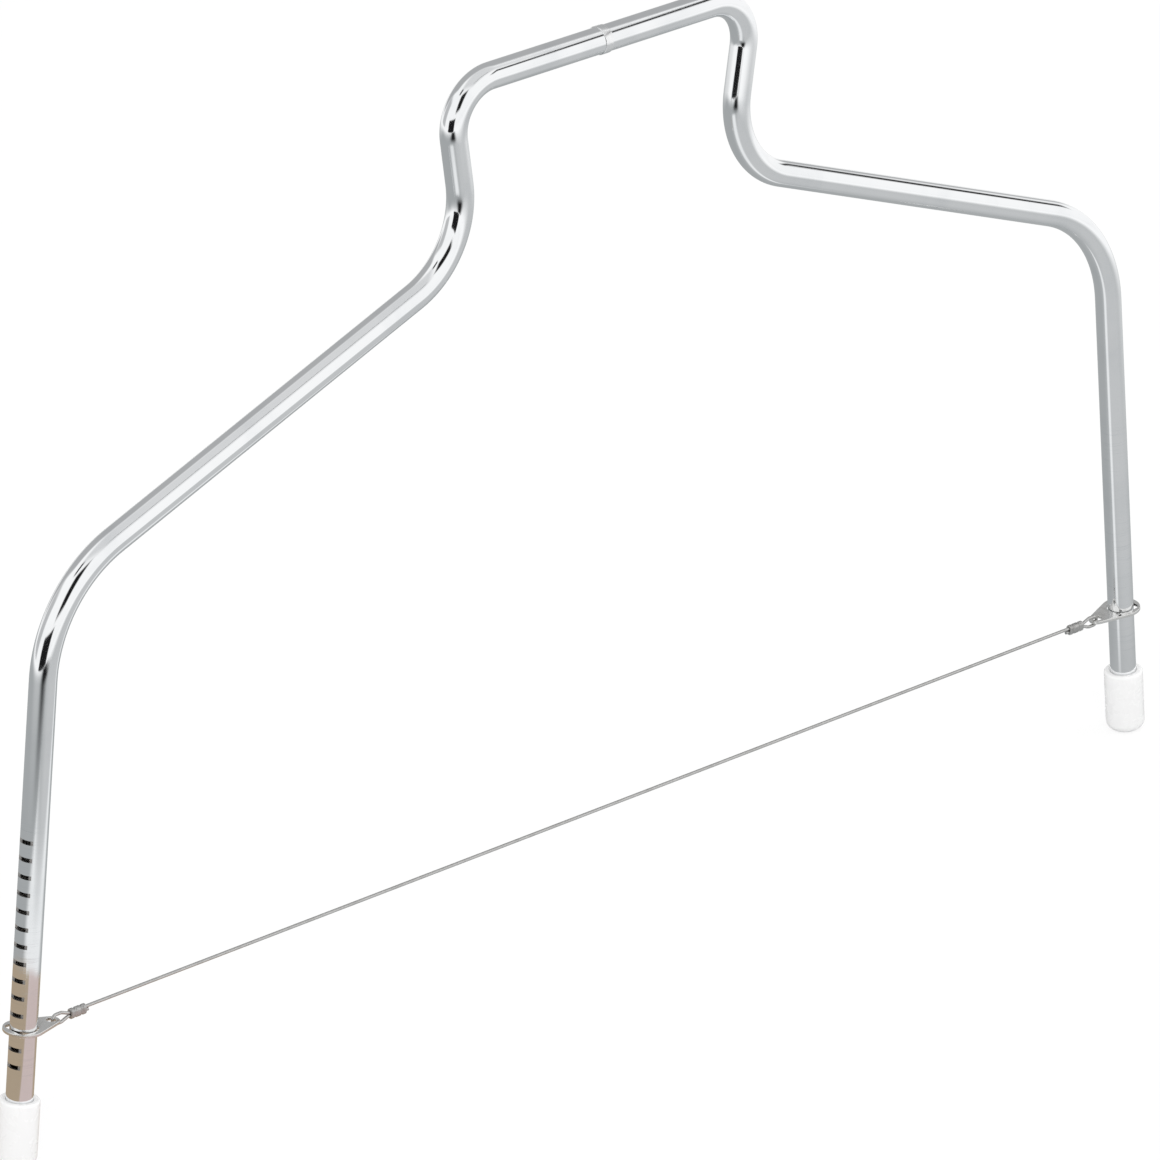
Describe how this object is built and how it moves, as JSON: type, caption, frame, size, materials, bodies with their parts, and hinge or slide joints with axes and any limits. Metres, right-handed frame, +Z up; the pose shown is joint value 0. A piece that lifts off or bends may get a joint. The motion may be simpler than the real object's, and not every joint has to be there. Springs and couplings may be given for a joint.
{
  "type": "cake leveler",
  "caption": "Bent chromed tube frame with a raised handle and notched splayed legs, holding a height-adjustable taut wire that slices a cake level.",
  "frame": {"origin": "on the floor, midway between the two feet", "axes": "+Z up, +X along the cutting wire towards the right foot, Y across the flat frame; the picture looks from -X, -Y and above"},
  "size_m": [0.4586, 0.012, 0.2877],
  "materials": {
    "chrome_tube": "bright chrome plating on steel tube",
    "spigot_steel": "plain drawn steel",
    "seam_bead": "smoothed and plated bead",
    "foot_plastic": "milky white moulded plastic",
    "plate_steel": "stamped and plated sheet steel",
    "wire_steel": "drawn stainless wire",
    "ferrule_metal": "dull crimped sleeve"
  },
  "bodies": {
    "frame": {"frame_tube_left": "chrome_tube", "frame_tube_right": "chrome_tube", "handle_spigot": "spigot_steel", "seam_bead": "seam_bead", "foot_cap_left": "foot_plastic", "foot_cap_right": "foot_plastic"},
    "left_wire_end": {"wire_loop_left": "wire_steel", "ferrule_left": "ferrule_metal"},
    "right_wire_end": {"wire_loop_right": "wire_steel", "ferrule_right": "ferrule_metal"},
    "left_plate": {"end_plate_left": "plate_steel"},
    "right_plate": {"end_plate_right": "plate_steel"},
    "wire": {"cutting_wire": "wire_steel"}
  },
  "joints": [
    {"name": "left_height", "type": "slide", "parent": "frame", "child": "left_wire_end", "axis": [0.0872, 0, 0.9962], "range_m": [-0.0105, 0.05775]},
    {"name": "right_height", "type": "slide", "parent": "frame", "child": "right_wire_end", "axis": [-0.0872, 0, 0.9962], "range_m": [-0.0105, 0.05775]},
    {"name": "wire_height", "type": "slide", "parent": "frame", "child": "wire", "axis": [0, 0, 1], "range_m": [-0.0105, 0.05775], "deforming": ["cutting_wire"]},
    {"name": "left_lock", "type": "slide", "parent": "left_wire_end", "child": "left_plate", "axis": [0.9962, 0, -0.0872], "range_m": [0, 0.0012]},
    {"name": "right_lock", "type": "slide", "parent": "right_wire_end", "child": "right_plate", "axis": [-0.9962, 0, -0.0872], "range_m": [0, 0.0012]}
  ],
  "couplings": [
    {"joint": "right_height", "follows": "left_height", "ratio": 1},
    {"joint": "wire_height", "follows": "left_height", "ratio": 0.99619}
  ]
}
